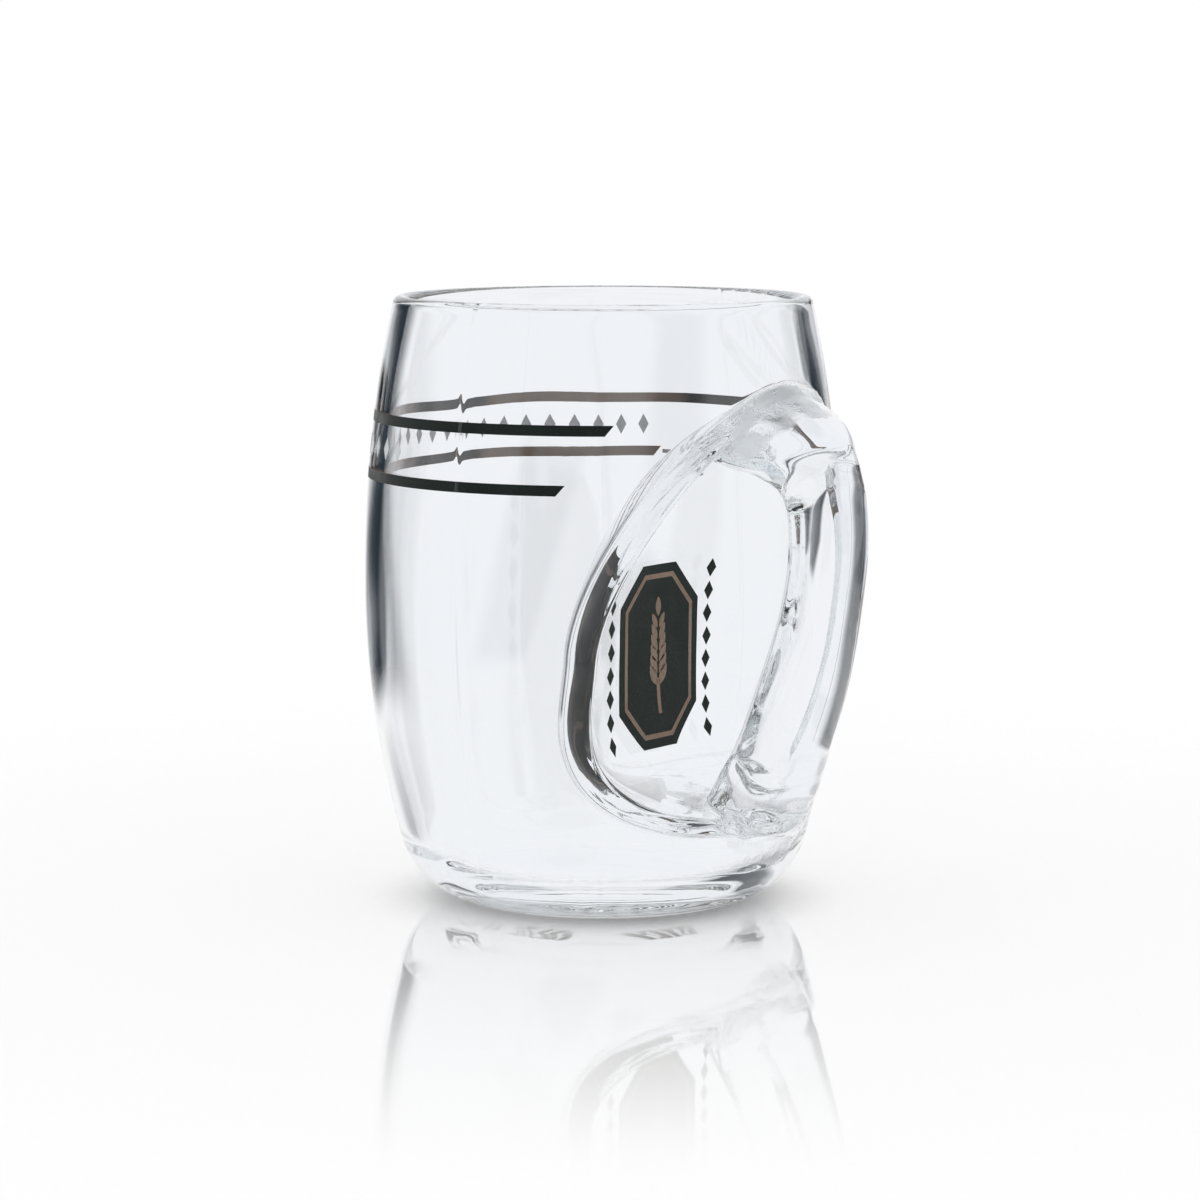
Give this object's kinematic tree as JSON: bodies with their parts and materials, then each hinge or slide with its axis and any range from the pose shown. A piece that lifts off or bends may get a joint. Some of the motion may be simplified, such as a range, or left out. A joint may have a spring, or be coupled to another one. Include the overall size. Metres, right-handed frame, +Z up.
{
  "type": "beer mug",
  "caption": "Clear glass beer mug: a barrel body with a hand hollow pressed into its wall, bridged by a solid welded glass handle, with dark printed bands and a panel emblem.",
  "frame": {"origin": "centre of the flat foot, on the surface that the mug stands on", "axes": "+Z up along the barrel's axis, +X from the axis out through the hand hollow and the handle, +Y to the left of the handle seen from outside with +Z up"},
  "size_m": [0.1522, 0.135, 0.1709],
  "materials": {
    "glass": "clear, fire-polished",
    "band_print": "dark fired lustre, satin",
    "dark_print": "near-black green fired enamel, satin",
    "lustre_print": "dull bronze fired lustre",
    "pale_print": "pale fired enamel, matt"
  },
  "bodies": {
    "root": {"glass_body": "glass", "glass_handle": "glass", "upper_band": "band_print", "lower_band": "band_print", "fill_mark": "pale_print", "emblem_field": "dark_print", "emblem_frame": "lustre_print", "barley_ear": "lustre_print"}
  },
  "joints": []
}
